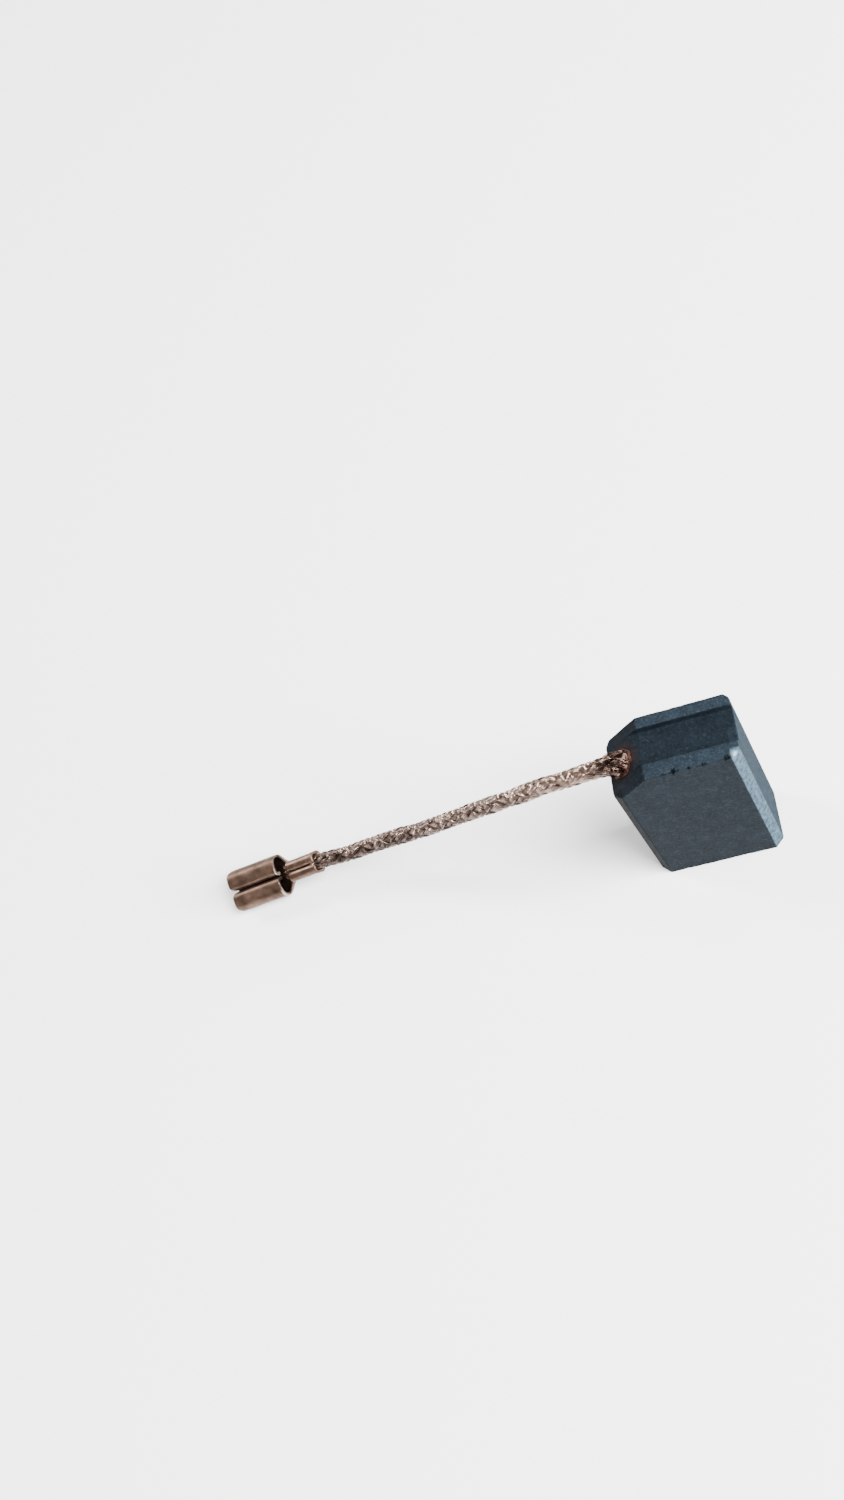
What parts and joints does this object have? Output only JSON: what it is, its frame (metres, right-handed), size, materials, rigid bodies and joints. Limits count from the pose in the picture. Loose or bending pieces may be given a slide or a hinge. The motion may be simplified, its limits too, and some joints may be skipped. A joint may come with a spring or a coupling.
{
  "type": "carbon brush",
  "caption": "Carbon motor brush: chamfered carbon block with spring channel, braided shunt lead and crimped push-on receptacle.",
  "frame": {"origin": "centre of the contact face, on the surface that the brush stands on", "axes": "+Z along the block's length from the contact face to the spring end; -X to the narrow side with the slanted corner and the lead; Y across the thickness"},
  "size_m": [0.0485, 0.0097, 0.0165],
  "materials": {
    "carbon": "pressed carbon graphite, matt with a faint grey sheen on pressed sides",
    "copper_powder": "tamped copper powder, dull and grainy",
    "copper_braid": "bare annealed copper strands, slightly dulled",
    "terminal_metal": "bare bronze strip, half bright"
  },
  "bodies": {
    "root": {"carbon_block": "carbon", "tamping_plug": "copper_powder", "shunt_lead": "copper_braid", "crimped_end": "copper_braid", "terminal": "terminal_metal"}
  },
  "joints": []
}
